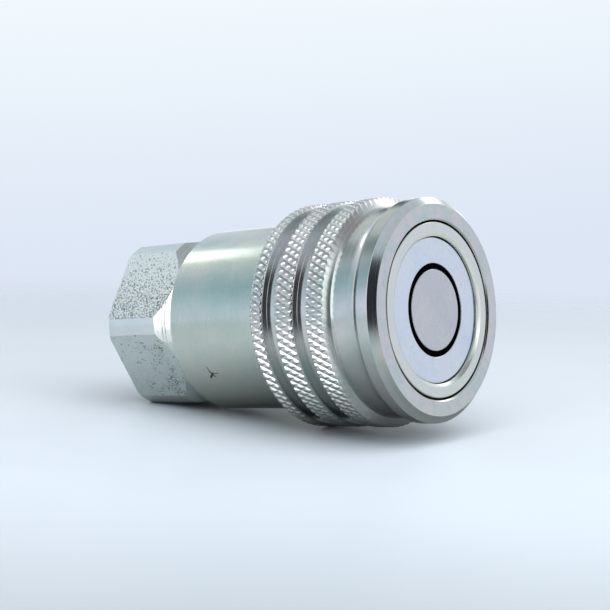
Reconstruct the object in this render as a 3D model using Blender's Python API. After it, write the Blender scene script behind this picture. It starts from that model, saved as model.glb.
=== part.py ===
"""Female half of a flat-face hydraulic quick disconnect coupler, size 12.5 (1/2 in).

Frame: the coupler axis is X, the flush mating face is the plane X = 0 and looks to +X,
the wrench hexagon is at -X with two of its flats level, +Z is up.
All dimensions below are millimetres; MM turns them into metres.
Radii are measured from the X axis. Neighbouring pieces keep a gap of CLEAR.
"""
import math

import bmesh
import bpy
from mathutils import Vector

MM = 0.001
CLEAR = 0.3
FINE = 48
MEDIUM = 36
COARSE = 24
BODY_SEGMENTS = 40

# Mating face
NOSE_R = 12.25
STEM_FACE_R = 6.9
STEM_HEAD_R = 7.5
SEAL_BORE_R = 7.86
SEAL_R = 7.6
SEAL_SEAT_R = 5.7

# Main body
BODY_R = 16.7
BODY_FRONT_X = 0.7
BODY_FRONT_R = 14.8
BODY_FACE_INNER_R = 13.0
BODY_BORE_R = NOSE_R + CLEAR
CHAMBER_R = 13.6
THREAD_BORE_R = 14.2
BODY_REAR_X = -46.3
BODY_SHOULDER_X = -21.5
BODY_STEP_X = -24.0
CHAMBER_END_X = -35.8
SNAP_GROOVE_R = 13.9
SNAP_GROOVE_X = -19.9

# Locking balls
BALL_R = 1.75
BALL_X = -7.7
BALL_CENTRE_R = 13.1
BALL_COUNT = 10
POCKET_R = 1.95
POCKET_SEAT_R = 1.72

# Locking sleeve
SLEEVE_FRONT_X = 0.9
SLEEVE_REAR_X = -24.6
BAND_R = 19.75
GROOVE_R = 18.2
FLANGE_R = 19.0
FLANGE_FACE_R = 17.8
SLEEVE_BORE_R = BODY_FRONT_R + CLEAR
BANDS = ((-8.71, -12.1), (-15.38, -18.75), (-22.0, -24.07))
BAND_SHOULDER = (0.27, 0.5)
FLANGE_REAR = ((-2.36, 19.0), (-2.95, 18.54), (-3.6, 18.3), (-4.33, 18.2))
RECESS_R = 16.2
RECESS_FRONT_X = -1.2
LAND_FRONT_X = BALL_X + 0.7
LAND_REAR_X = -9.6
RAMP_ANGLE = math.radians(35)
SPRING_BORE_R = 17.5
LIP_R = 16.85

# Springs, washer and snap ring
SLEEVE_SPRING = {"mean_r": 16.15, "wire_d": 1.1, "turns": 3.75}
VALVE_SPRING = {"mean_r": 12.3, "wire_d": 1.6, "turns": 3.2}
THRUST_WASHER_INNER_R = 15.2
THRUST_WASHER_WIDTH = 0.7
SNAP_RING_INNER_R = 14.2
SNAP_RING_OUTER_R = 17.25
SNAP_RING_WIDTH = 1.0
SNAP_RING_ARC = math.radians(342)

# Valve sleeve and stem
VALVE_COLLAR_X = BODY_STEP_X - CLEAR
VALVE_REAR_X = -25.8
VALVE_COLLAR_R = CHAMBER_R - CLEAR
VALVE_FLOW_R = 9.2
VALVE_RELIEF_R = 11.05
VALVE_GROOVE = (-15.0, -18.2, 10.4)
STEM_ROD_R = 3.0
STEM_THREAD_R = 2.1
STEM_END_X = -43.6
SUPPORT_FRONT_X = CHAMBER_END_X - CLEAR
SUPPORT_REAR_X = SUPPORT_FRONT_X - 2.5
SUPPORT_R = THREAD_BORE_R - CLEAR
FLOW_HOLE_COUNT = 6
FLOW_HOLE_R = 3.0
FLOW_HOLE_RING_R = 8.4
FLOW_HOLE_START = math.radians(7)
LOCK_WASHER_R = 4.2
LOCK_WASHER_WIDTH = 0.6
NUT_FLAT = 4.0
NUT_WIDTH = 2.8

# Rear adapter
HEX_FLAT = 15.0
HEX_TURNED_R = 16.5
HEX_CONE_X = -50.5
HEX_REAR_X = -62.85
NECK_R = 14.85
SPIGOT_R = THREAD_BORE_R - CLEAR
SPIGOT_FRONT_X = SUPPORT_REAR_X - CLEAR
PORT_R = 9.3
PORT_MOUTH_R = 10.8
PORT_DEPTH_X = -48.5
FLOW_R = 8.0
SPIGOT_GROOVE = (-39.6, -42.3, 11.7)

ZINC = ((0.72, 0.75, 0.77, 1.0), 0.32, 1.0)
BRIGHT_ZINC = ((0.72, 0.78, 0.86, 1.0), 0.28, 1.0)
STEEL = ((0.62, 0.60, 0.62, 1.0), 0.35, 1.0)
SPRING_STEEL = ((0.45, 0.46, 0.48, 1.0), 0.3, 1.0)
BALL_STEEL = ((0.75, 0.76, 0.78, 1.0), 0.1, 1.0)
RUBBER = ((0.01, 0.01, 0.011, 1.0), 0.55, 0.0)
PLASTIC = ((0.85, 0.84, 0.80, 1.0), 0.5, 0.0)


def clear_scene():
    for item in list(bpy.data.objects):
        bpy.data.objects.remove(item, do_unlink=True)


def principled(name, finish):
    colour, roughness, metallic = finish
    material = bpy.data.materials.new(name + "_finish")
    material.use_nodes = True
    shader = material.node_tree.nodes["Principled BSDF"]
    shader.inputs["Base Color"].default_value = colour
    shader.inputs["Roughness"].default_value = roughness
    shader.inputs["Metallic"].default_value = metallic
    return material


def add_object(name, mesh_builder, finish=None):
    """Turn a bmesh into a named object; a piece without a finish is a cutter."""
    bmesh.ops.recalc_face_normals(mesh_builder, faces=mesh_builder.faces)
    mesh = bpy.data.meshes.new(name)
    mesh_builder.to_mesh(mesh)
    mesh_builder.free()
    item = bpy.data.objects.new(name, mesh)
    bpy.context.scene.collection.objects.link(item)
    if finish is None:
        item.hide_render = True
        item.display_type = "WIRE"
    else:
        mesh.materials.append(principled(name, finish))
        mesh.shade_smooth()
        mesh.set_sharp_from_angle(angle=math.radians(32))
    return item


def turned(name, outline, finish=None, segments=FINE):
    """Revolve an (x, radius) outline about X; it is closed unless it ends on the axis."""
    builder = bmesh.new()
    points = [builder.verts.new((x * MM, 0.0, radius * MM)) for x, radius in outline]
    on_axis = outline[0][1] == 0.0 and outline[-1][1] == 0.0
    links = zip(points, points[1:] if on_axis else points[1:] + points[:1])
    edges = [builder.edges.new(pair) for pair in links]
    bmesh.ops.spin(builder, geom=points + edges, cent=(0, 0, 0), axis=(1, 0, 0),
                   angle=2 * math.pi, steps=segments, use_merge=True)
    bmesh.ops.remove_doubles(builder, verts=builder.verts, dist=1e-6)
    return add_object(name, builder, finish)


def rod(name, origin, way, stations, segments=12):
    """A stepped or tapered round cutter; stations are (distance along way, radius) pairs."""
    turn = way.to_track_quat("Z", "Y").to_matrix()
    builder = bmesh.new()
    rings = []
    for distance, radius in stations:
        ring = []
        for k in range(segments):
            angle = 2 * math.pi * (k + 0.5) / segments
            local = Vector((radius * math.cos(angle), radius * math.sin(angle), distance))
            ring.append(builder.verts.new((origin + turn @ local) * MM))
        rings.append(ring)
    for first, second in zip(rings, rings[1:]):
        for k in range(segments):
            after = (k + 1) % segments
            builder.faces.new((first[k], first[after], second[after], second[k]))
    builder.faces.new(rings[0])
    builder.faces.new(rings[-1])
    return add_object(name, builder)


def boolean(target, other, operation="DIFFERENCE"):
    modifier = target.modifiers.new(other.name, "BOOLEAN")
    modifier.operation = operation
    modifier.object = other


def hexagon(name, flat_radius, front_x, rear_x, finish=None):
    """A hexagonal prism along X with two flats level, so a corner points to -Y."""
    builder = bmesh.new()
    corner = flat_radius / math.cos(math.radians(30)) * MM
    angles = [math.radians(60 * k) for k in range(6)]
    points = [(rear_x * MM, corner * math.cos(a), corner * math.sin(a)) for a in angles]
    ring = [builder.verts.new(point) for point in points]
    face = builder.faces.new(ring)
    grown = bmesh.ops.extrude_face_region(builder, geom=[face])
    tips = [v for v in grown["geom"] if isinstance(v, bmesh.types.BMVert)]
    bmesh.ops.translate(builder, verts=tips, vec=((front_x - rear_x) * MM, 0, 0))
    return add_object(name, builder, finish)


def round_ring(name, centre_x, centre_r, section_r, finish, segments=MEDIUM, sides=6):
    """An O-ring: a round section turned about X."""
    angles = [2 * math.pi * k / sides for k in range(sides)]
    outline = [(centre_x + section_r * math.cos(a), centre_r + section_r * math.sin(a)) for a in angles]
    return turned(name, outline, finish, segments)


def flat_ring(name, front_x, rear_x, inner_r, outer_r, finish, segments=MEDIUM):
    """A washer or backup ring of rectangular section."""
    outline = [(front_x, inner_r), (front_x, outer_r), (rear_x, outer_r), (rear_x, inner_r)]
    return turned(name, outline, finish, segments)


def coil_spring(name, front_x, rear_x, mean_r, wire_d, turns, steps=18, sides=6):
    """A helical compression spring whose ends touch front_x and rear_x."""
    builder = bmesh.new()
    wire_r = wire_d / 2
    rise = (rear_x + wire_r) - (front_x - wire_r)
    count = round(turns * steps)
    pitch_angle = math.atan2(abs(rise) / turns, 2 * math.pi * mean_r)
    rings = []
    for k in range(count + 1):
        turn = 2 * math.pi * turns * k / count
        outward = Vector((0, math.cos(turn), math.sin(turn)))
        across = Vector((math.cos(pitch_angle), -math.sin(turn) * math.sin(pitch_angle),
                         math.cos(turn) * math.sin(pitch_angle)))
        centre = outward * mean_r + Vector((front_x - wire_r + rise * k / count, 0, 0))
        ring = []
        for side in range(sides):
            around = 2 * math.pi * side / sides
            point = centre + (outward * math.cos(around) + across * math.sin(around)) * wire_r
            ring.append(builder.verts.new(point * MM))
        rings.append(ring)
    for first, second in zip(rings, rings[1:]):
        for side in range(sides):
            after = (side + 1) % sides
            builder.faces.new((first[side], first[after], second[after], second[side]))
    builder.faces.new(rings[0])
    builder.faces.new(rings[-1])
    return add_object(name, builder, SPRING_STEEL)


def ball_direction(index):
    """Unit vector from the axis to one ball, in the YZ plane."""
    angle = math.radians(90) + 2 * math.pi * index / BALL_COUNT
    return Vector((0.0, math.cos(angle), math.sin(angle)))


def make_main_body():
    outline = [
        (BODY_FRONT_X, BODY_FACE_INNER_R), (BODY_FRONT_X, BODY_FRONT_R - 0.22),
        (BODY_FRONT_X - 0.22, BODY_FRONT_R),
        (SNAP_GROOVE_X, BODY_FRONT_R), (SNAP_GROOVE_X, SNAP_GROOVE_R),
        (BODY_SHOULDER_X, SNAP_GROOVE_R), (BODY_SHOULDER_X, BODY_R - 0.3),
        (BODY_SHOULDER_X - 0.3, BODY_R), (BODY_REAR_X + 0.35, BODY_R), (BODY_REAR_X, BODY_R - 0.35),
        (BODY_REAR_X, THREAD_BORE_R + 0.4), (BODY_REAR_X + 0.4, THREAD_BORE_R),
        (CHAMBER_END_X, THREAD_BORE_R), (CHAMBER_END_X, CHAMBER_R),
        (BODY_STEP_X, CHAMBER_R), (BODY_STEP_X, BODY_BORE_R), (0.0, BODY_BORE_R),
    ]
    body = turned("main_body", outline, ZINC, BODY_SEGMENTS)
    seat_depth = BODY_BORE_R - 0.6
    stations = [(seat_depth, POCKET_SEAT_R - 0.25), (BALL_CENTRE_R, POCKET_R),
                (BODY_FRONT_R + 1.0, POCKET_R)]
    for index in range(BALL_COUNT):
        pocket = rod(f"ball_pocket_{index + 1:02d}", Vector((BALL_X, 0, 0)), ball_direction(index), stations)
        boolean(body, pocket)


def make_locking_sleeve():
    """Flange, neck and three knurling bands outside; lip, recess, land and spring bore inside."""
    ramp_end_x = LAND_FRONT_X + (RECESS_R - SLEEVE_BORE_R) / math.tan(RAMP_ANGLE)
    outline = [
        (SLEEVE_FRONT_X, SLEEVE_BORE_R + 0.25), (SLEEVE_FRONT_X, FLANGE_FACE_R),
        (SLEEVE_FRONT_X - 1.15, FLANGE_R), *FLANGE_REAR, (BANDS[0][0] + 0.65, GROOVE_R),
    ]
    run, rise = BAND_SHOULDER
    for front, rear in BANDS:
        if front != BANDS[0][0]:
            outline.append((front + run, GROOVE_R))
            outline.append((front + run, BAND_R - rise))
        outline.append((front, BAND_R))
        outline.append((rear, BAND_R))
        if rear != BANDS[-1][1]:
            outline.append((rear, GROOVE_R))
    outline += [
        (SLEEVE_REAR_X, BAND_R - 0.53), (SLEEVE_REAR_X, LIP_R + 0.3), (SLEEVE_REAR_X + 0.3, LIP_R),
        (BODY_SHOULDER_X, LIP_R), (BODY_SHOULDER_X, SPRING_BORE_R),
        (LAND_REAR_X, SPRING_BORE_R), (LAND_REAR_X, SLEEVE_BORE_R),
        (LAND_FRONT_X, SLEEVE_BORE_R), (ramp_end_x, RECESS_R),
        (RECESS_FRONT_X, RECESS_R), (RECESS_FRONT_X, SLEEVE_BORE_R),
        (SLEEVE_FRONT_X - 0.25, SLEEVE_BORE_R),
    ]
    turned("locking_sleeve", outline, ZINC, FINE)


def make_sleeve_spring_set():
    """Thrust washer, spring and the snap ring that stops the sleeve, in the sleeve's bore."""
    washer_front = LAND_REAR_X - CLEAR
    washer_rear = washer_front - THRUST_WASHER_WIDTH
    snap_rear = BODY_SHOULDER_X + CLEAR
    snap_front = snap_rear + SNAP_RING_WIDTH
    flat_ring("sleeve_thrust_washer", washer_front, washer_rear, THRUST_WASHER_INNER_R,
              SPRING_BORE_R - CLEAR, STEEL)
    coil_spring("sleeve_spring", washer_rear - CLEAR, snap_front + CLEAR, **SLEEVE_SPRING)
    builder = bmesh.new()
    section = [(snap_front, SNAP_RING_INNER_R), (snap_front, SNAP_RING_OUTER_R),
               (snap_rear, SNAP_RING_OUTER_R), (snap_rear, SNAP_RING_INNER_R)]
    corners = [builder.verts.new((x * MM, radius * MM, 0.0)) for x, radius in section]
    face = builder.faces.new(corners)
    bmesh.ops.spin(builder, geom=[face] + list(face.edges) + corners, cent=(0, 0, 0), axis=(1, 0, 0),
                   angle=SNAP_RING_ARC, steps=38)
    add_object("sleeve_snap_ring", builder, SPRING_STEEL)


def make_locking_balls():
    for index in range(BALL_COUNT):
        builder = bmesh.new()
        bmesh.ops.create_uvsphere(builder, u_segments=12, v_segments=8, radius=BALL_R * MM)
        ball = add_object(f"locking_ball_{index + 1:02d}", builder, BALL_STEEL)
        ball.location = (Vector((BALL_X, 0, 0)) + ball_direction(index) * BALL_CENTRE_R) * MM


def make_valve_sleeve():
    """Sliding inner sleeve: flush face, relief over the balls, seal groove and rear collar."""
    groove_front, groove_rear, groove_r = VALVE_GROOVE
    outline = [
        (0.0, SEAL_BORE_R + 0.12), (0.0, NOSE_R - 0.2), (-0.2, NOSE_R), (-1.5, NOSE_R),
        (-2.3, VALVE_RELIEF_R), (-11.6, VALVE_RELIEF_R), (-12.4, NOSE_R),
        (groove_front, NOSE_R), (groove_front, groove_r), (groove_rear, groove_r), (groove_rear, NOSE_R),
        (VALVE_COLLAR_X, NOSE_R), (VALVE_COLLAR_X, VALVE_COLLAR_R), (VALVE_REAR_X, VALVE_COLLAR_R),
        (VALVE_REAR_X, VALVE_FLOW_R), (-6.6, VALVE_FLOW_R), (-5.2, SEAL_BORE_R), (-0.12, SEAL_BORE_R),
    ]
    turned("valve_sleeve", outline, BRIGHT_ZINC, FINE)
    section_r = 0.8
    round_ring("valve_sleeve_o_ring", groove_front - 1.1, groove_r + 0.25 + section_r, section_r, RUBBER)
    flat_ring("valve_sleeve_backup_ring", groove_rear + 1.0, groove_rear + CLEAR, groove_r + 0.25,
              NOSE_R, PLASTIC)
    coil_spring("valve_spring", VALVE_REAR_X - CLEAR, CHAMBER_END_X, **VALVE_SPRING)


def make_stem():
    """Fixed centre stem with its face seal, support, lock washer and nut."""
    outline = [
        (0.0, 0.0), (0.0, STEM_FACE_R - 0.15), (-0.15, STEM_FACE_R), (-0.95, STEM_FACE_R),
        (-0.95, SEAL_SEAT_R), (-2.95, SEAL_SEAT_R), (-2.95, STEM_HEAD_R), (-4.6, STEM_HEAD_R),
        (-8.2, STEM_ROD_R),
        (CHAMBER_END_X, STEM_ROD_R), (CHAMBER_END_X, STEM_THREAD_R),
        (STEM_END_X + 0.4, STEM_THREAD_R), (STEM_END_X, STEM_THREAD_R - 0.4), (STEM_END_X, 0.0),
    ]
    turned("stem", outline, STEEL, MEDIUM)
    lip_r = STEM_FACE_R + 0.22
    seat_r = SEAL_SEAT_R + 0.25
    seal = [(-0.3, lip_r), (-0.3, SEAL_R), (-2.7, SEAL_R), (-2.7, seat_r), (-1.2, seat_r), (-1.2, lip_r)]
    turned("stem_face_seal", seal, RUBBER, MEDIUM)

    support = flat_ring("stem_support", SUPPORT_FRONT_X, SUPPORT_REAR_X, STEM_THREAD_R + CLEAR,
                        SUPPORT_R, STEEL)
    for index in range(FLOW_HOLE_COUNT):
        angle = FLOW_HOLE_START + 2 * math.pi * index / FLOW_HOLE_COUNT
        centre = Vector((0, math.cos(angle), math.sin(angle))) * FLOW_HOLE_RING_R
        hole = rod(f"flow_hole_{index + 1}", centre, Vector((1, 0, 0)),
                   [(SUPPORT_REAR_X - 1, FLOW_HOLE_R), (SUPPORT_FRONT_X + 1, FLOW_HOLE_R)], 14)
        boolean(support, hole)

    washer_front = SUPPORT_REAR_X - CLEAR
    washer_rear = washer_front - LOCK_WASHER_WIDTH
    flat_ring("stem_lock_washer", washer_front, washer_rear, STEM_THREAD_R + CLEAR, LOCK_WASHER_R,
              SPRING_STEEL, COARSE)
    nut_front = washer_rear - CLEAR
    nut = hexagon("stem_nut", NUT_FLAT, nut_front, nut_front - NUT_WIDTH, STEEL)
    hole_r = STEM_THREAD_R + CLEAR
    tapping = rod("nut_tapping", Vector((0, 0, 0)), Vector((1, 0, 0)),
                  [(nut_front - 4, hole_r), (nut_front + 1, hole_r)], 18)
    boolean(nut, tapping)


def make_rear_adapter():
    """Threaded spigot, chamfered hexagon with turned-off corners, and the female port."""
    groove_front, groove_rear, groove_r = SPIGOT_GROOVE
    neck_x = BODY_REAR_X - CLEAR
    cone_front_x = HEX_CONE_X + (HEX_TURNED_R - NECK_R) / math.tan(math.radians(30))
    outline = [
        (SPIGOT_FRONT_X, FLOW_R), (SPIGOT_FRONT_X, SPIGOT_R - 0.4), (SPIGOT_FRONT_X - 0.4, SPIGOT_R),
        (groove_front, SPIGOT_R), (groove_front, groove_r), (groove_rear, groove_r), (groove_rear, SPIGOT_R),
        (neck_x, SPIGOT_R), (neck_x, NECK_R), (cone_front_x, NECK_R), (HEX_CONE_X, HEX_TURNED_R),
        (HEX_REAR_X + 0.3, HEX_TURNED_R), (HEX_REAR_X, HEX_TURNED_R - 0.3),
        (HEX_REAR_X, PORT_MOUTH_R), (HEX_REAR_X + 1.3, PORT_R),
        (PORT_DEPTH_X, PORT_R), (PORT_DEPTH_X + 0.8, FLOW_R),
    ]
    adapter = turned("rear_adapter", outline, ZINC, FINE)
    wrench_hexagon = hexagon("wrench_hexagon", HEX_FLAT, SPIGOT_FRONT_X + 5, HEX_REAR_X - 5)
    boolean(adapter, wrench_hexagon, "INTERSECT")
    section_r = 0.85
    round_ring("adapter_o_ring", groove_front - 1.1, groove_r + 0.25 + section_r, section_r, RUBBER)
    flat_ring("adapter_backup_ring", groove_rear + 0.75, groove_rear + 0.25, groove_r + 0.25,
              SPIGOT_R, PLASTIC)


clear_scene()
make_main_body()
make_locking_sleeve()
make_sleeve_spring_set()
make_locking_balls()
make_valve_sleeve()
make_stem()
make_rear_adapter()
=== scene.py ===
"""Looks of the quick disconnect coupler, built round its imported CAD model.

Every piece is made in the frame of the CAD model: the coupler axis is X, the mating face
is x = 0 and looks to +X, +Z is up. Outlines are (x, radius, fillet) corners in millimetres,
and MM turns them into metres. Where a node starts, ends and how far it reaches from the
axis is read from the frame, so that each piece fills its own CAD node.
"""
import math

import bmesh
import bpy
import numpy as np
from mathutils import Matrix, Vector


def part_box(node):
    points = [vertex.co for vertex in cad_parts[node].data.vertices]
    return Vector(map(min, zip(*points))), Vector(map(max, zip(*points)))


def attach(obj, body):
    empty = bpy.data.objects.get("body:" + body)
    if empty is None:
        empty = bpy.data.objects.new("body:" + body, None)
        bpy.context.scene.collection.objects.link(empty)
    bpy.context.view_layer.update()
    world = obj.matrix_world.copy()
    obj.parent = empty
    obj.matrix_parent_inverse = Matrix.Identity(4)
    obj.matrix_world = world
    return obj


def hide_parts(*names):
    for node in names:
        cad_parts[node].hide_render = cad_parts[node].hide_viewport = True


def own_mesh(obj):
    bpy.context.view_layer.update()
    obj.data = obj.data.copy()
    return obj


MM = 0.001
TURNED = 172                  # segments round a turned piece: two to a knurl tooth
THREADED = 120                # segments round the adapter
SMALL_TURNED = 96             # segments round the stem and the small pieces on it
FINE_SPLIT = 6                # points of a fine ring to each segment

# Knurl of the sleeve: the grooves that climb one way are deeper than those that climb the other
KNURL_TEETH = 86
KNURL_PITCH = 2.5
KNURL_DEEP = (0.32, 1.8)      # depth, sharpness
KNURL_SHALLOW = (0.19, 2.2)
KNURL_STEP = KNURL_PITCH / 12
BANDS = ((-8.71, -12.1), (-15.38, -18.75), (-22.0, -24.07))

# Stations and radii that several pieces share
CLEAR = 0.3
BODY_FRONT_R = 14.8
BODY_SHOULDER_X = -21.5
SNAP_GROOVE = (-19.9, 13.9)             # front x, floor radius
CHAMBER_END_X = -35.8
BALL_X = -7.7
BALL_COUNT = 10
BALL_R = 1.75
BALL_CENTRE_R = 13.1
POCKET_R = 1.95
LAND_FRONT_X = -7.0
LAND_REAR_X = -9.6
LAND_RAMP = math.radians(35)
RECESS_FRONT_X = -1.2
VALVE_GROOVE = (-15.0, -18.2, 10.4)     # front x, rear x, floor radius
SPIGOT_GROOVE = (-39.6, -42.3, 11.7)
SPIGOT_R = 13.9
SPIGOT_REAR_X = -46.6
FLOW_R = 8.0
PORT_R = 9.3
PORT_DEPTH_X = -48.5
PORT_THREAD_END_X = -49.6
PIPE_PITCH = 1.814
STEM_PITCH = 0.7
STEM_ROD_R = 3.0
STEM_THREAD_R = 2.1
STEM_HOLE_R = 2.4
FLOW_HOLE_COUNT = 6
FLOW_HOLE_R = 3.0
FLOW_HOLE_RING_R = 8.4
NUT_FLAT = 4.0
WASHER_BORE_R = 15.2
SNAP_RING_R = (14.2, 17.25)
SNAP_RING_ARC = math.radians(342)
SNAP_RING_STEPS = 150

# What the barrel and the sleeve mirror: (degrees round the axis, from the near side up; tint)
BARREL_BELT = (
    (-100, (0.30, 0.33, 0.35)), (-40.7, (0.49, 0.55, 0.58)), (-30.7, (0.54, 0.61, 0.655)),
    (-20.7, (0.60, 0.68, 0.73)), (-10.7, (0.66, 0.74, 0.82)), (-0.7, (0.77, 0.85, 0.94)),
    (9.3, (0.70, 0.78, 0.90)), (19.3, (0.65, 0.76, 0.85)), (29.3, (0.53, 0.69, 0.77)),
    (39.3, (0.45, 0.60, 0.66)), (49.3, (0.48, 0.62, 0.66)), (59.3, (0.60, 0.67, 0.74)),
    (69.3, (0.76, 0.81, 0.86)), (79.3, (0.84, 0.88, 0.86)), (99.3, (0.95, 0.98, 1.0)),
    (109.3, (0.80, 0.86, 0.96)), (119.3, (0.72, 0.78, 0.86)), (139.3, (0.77, 0.81, 0.90)),
    (160, (0.85, 0.88, 0.97)),
)
SLEEVE_BELT = (
    (-100, (0.25, 0.28, 0.31)), (-30.7, (0.456, 0.518, 0.577)), (-20.7, (0.49, 0.60, 0.67)),
    (-10.7, (0.55, 0.667, 0.744)), (-0.7, (0.71, 0.81, 0.93)), (9.3, (0.82, 0.85, 1.0)),
    (19.3, (0.69, 0.75, 0.89)), (29.3, (0.42, 0.545, 0.62)), (39.3, (0.34, 0.48, 0.525)),
    (49.3, (0.37, 0.47, 0.51)), (59.3, (0.40, 0.49, 0.48)), (69.3, (0.17, 0.235, 0.24)),
    (79.3, (0.17, 0.235, 0.235)), (89.3, (0.52, 0.60, 0.61)), (99.3, (0.63, 0.66, 0.66)),
    (119.3, (0.64, 0.70, 0.66)), (129.3, (0.66, 0.71, 0.69)), (139.3, (0.46, 0.51, 0.535)),
    (149.3, (0.40, 0.47, 0.51)), (160, (1.2, 1.3, 1.3)),
)

# Scratches on the barrel: x and angle round the axis, then (turn, length, width, aside) strokes
STRIKE = (-39.1, -0.58)
STRIKE_STROKES = (
    (0.75, 1.1, 0.30, -0.4), (-0.9, 1.2, 0.12, 0.0), (1.9, 1.4, 0.11, 0.6), (0.15, 1.2, 0.09, 0.7),
)

# Studio: (headings, heights, edge softness of both, tint), in degrees; a later patch covers an
# earlier one. Heading 0 is +X, ahead of the mating face, and 90 is +Y, the far side.
PALE_BEYOND_HEXAGON = (
    ((150, 181), (-6, 11), (6, 3), (1.10, 1.10, 1.12)),
    ((-181, -160), (-6, 11), (6, 3), (1.10, 1.10, 1.12)),
)
STUDIO_PATCHES = (
    # ahead of the mating face: pale low down, brighter above, a grey card to the far side
    ((-5, 32), (-14, 9), (4, 3), (1.0, 1.0, 1.02)),
    ((-5, 16), (9, 21), (4, 3), (1.6, 1.65, 1.6)),
    ((18, 44), (22, 45), (4, 3), (0.30, 0.295, 0.30)),
    # dark cards: from the camera round to its right, and on the far side
    ((-59, -10), (-18, 40), (2, 2), (0.02, 0.024, 0.032)),
    ((104, 134), (20, 50), (3, 3), (0.12, 0.13, 0.13)),
    # soft boxes: left of the camera in two parts, on the far side, and high beyond the hexagon
    ((-104, -68), (-2, 42), (3, 2), (2.5, 2.5, 2.42)),
    ((-99, -68), (42, 64), (2, 2), (2.5, 2.5, 2.42)),
    ((112, 134), (-4, 12), (3, 2), (1.5, 1.6, 1.6)),
    ((168, 181), (40.5, 47), (2, 1), (3.9, 3.9, 3.6)),
    ((-181, -178), (40.5, 47), (2, 1), (3.9, 3.9, 3.6)),
    ((60, 100), (26, 40), (4, 2), (2.4, 2.4, 2.3)),
)
FLOOR_RADII = (0.05, 0.1, 0.2, 0.4, 0.8)
FLOOR_SEGMENTS = 64
FLOOR_SHADE_CENTRE = (-0.005, 0.005, -0.02)
LAMP_PLACE = (0.36, -0.12, 0.41)
CAMERA_PLACE = (125.85, -187.11, 5.36)
CAMERA_RIGHT = (0.7709, 0.6336, -0.0655)
CAMERA_FORWARD = (-0.6356, 0.7719, -0.0138)
CAMERA_LENS = 79.07

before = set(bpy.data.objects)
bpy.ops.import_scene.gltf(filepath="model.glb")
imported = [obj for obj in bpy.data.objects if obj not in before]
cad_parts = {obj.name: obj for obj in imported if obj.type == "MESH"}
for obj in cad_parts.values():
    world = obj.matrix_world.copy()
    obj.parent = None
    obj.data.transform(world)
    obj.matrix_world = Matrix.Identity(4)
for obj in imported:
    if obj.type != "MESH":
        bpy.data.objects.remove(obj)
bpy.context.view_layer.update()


def span(node):
    """Front x, rear x and outer radius of a turned node, in millimetres."""
    low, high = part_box(node)
    return high[0] / MM, low[0] / MM, high[2] / MM


# ---------------------------------------------------------------- mesh tools

def rounded(outline, steps=3, closed=True):
    """Swap each (x, radius, fillet) corner for an arc; a corner without a fillet stays."""
    points = []
    count = len(outline)
    for k, corner in enumerate(outline):
        here = np.array(corner[:2], dtype=float)
        at_end = not closed and k in (0, count - 1)
        if len(corner) < 3 or at_end:
            points.append(here)
            continue
        before = np.array(outline[k - 1][:2]) - here
        after = np.array(outline[(k + 1) % count][:2]) - here
        reach = min(np.linalg.norm(before), np.linalg.norm(after)) * 0.48
        before /= np.linalg.norm(before)
        after /= np.linalg.norm(after)
        half = math.acos(np.clip(before @ after, -1, 1)) / 2
        if half > math.radians(89):
            points.append(here)
            continue
        trim = min(corner[2] / math.tan(half), reach)
        radius = trim * math.tan(half)
        middle = before + after
        centre = here + middle / np.linalg.norm(middle) * radius / math.sin(half)
        start = here + before * trim - centre
        end = here + after * trim - centre
        turn = math.atan2(start[0] * end[1] - start[1] * end[0], start @ end)
        for step in range(steps + 1):
            a = turn * step / steps
            points.append(centre + np.array((start[0] * math.cos(a) - start[1] * math.sin(a),
                                             start[0] * math.sin(a) + start[1] * math.cos(a))))
    return points


def refined(points, zones, step):
    """Split an outline where it lies in a (front x, rear x, lowest radius, highest radius) zone.

    The flags tell which points bound such a stretch.
    """
    result, fine = [], []
    for here, after in zip(points, points[1:] + points[:1]):
        middle = (here + after) / 2
        inside = any(rear < middle[0] < front and low < middle[1] < high
                     for front, rear, low, high in zones)
        result.append(here)
        fine.append(inside)
        if inside:
            low, high = sorted((here[0], after[0]))
            stations = step * np.arange(math.ceil(low / step), math.floor(high / step) + 1)
            stations = [x for x in stations if low + 0.02 < x < high - 0.02]
            for x in sorted(stations, reverse=here[0] > after[0]):
                result.append(here + (after - here) * (x - here[0]) / (after[0] - here[0]))
                fine.append(True)
    flags = [fine[k] or fine[k - 1] for k in range(len(fine))]
    return result, flags


def lathe(name, points, segments=TURNED, relief=None, flags=None, closed=True):
    """Turn an outline about X. relief(x, radius, angle) reshapes the rings flagged as fine."""
    verts, rings = [], []
    for k, (x, radius) in enumerate(points):
        if radius < 1e-6:
            rings.append([len(verts)])
            verts.append((x * MM, 0.0, 0.0))
            continue
        fine = flags is not None and flags[k]
        count = segments * FINE_SPLIT if fine else segments
        angle = np.arange(count) * 2 * math.pi / count
        reach = np.full(count, float(radius))
        if fine:
            reach = relief(x, reach, angle)
        rings.append(list(range(len(verts), len(verts) + count)))
        verts.extend(zip(np.full(count, x * MM), reach * np.cos(angle) * MM, reach * np.sin(angle) * MM))
    faces = []
    for k in range(len(rings) if closed else len(rings) - 1):
        first, second = rings[k], rings[(k + 1) % len(rings)]
        if len(first) == len(second) == segments * FINE_SPLIT:
            faces += creased(first, second, points[k], points[(k + 1) % len(rings)], relief, verts)
        else:
            faces += joined(*sorted((first, second), key=len))
    return mesh_object(name, verts, faces)


def joined(few, many):
    """Faces between two rings; the larger one has a whole multiple of the smaller one's points."""
    if len(few) == 1:
        return [[few[0], many[k], many[(k + 1) % len(many)]] for k in range(len(many))]
    ratio = len(many) // len(few)
    faces = []
    for k in range(len(few)):
        spread = [many[(k * ratio + step) % len(many)] for step in range(ratio + 1)]
        faces.append([few[k], few[(k + 1) % len(few)]] + spread[::-1])
    return faces


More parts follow.
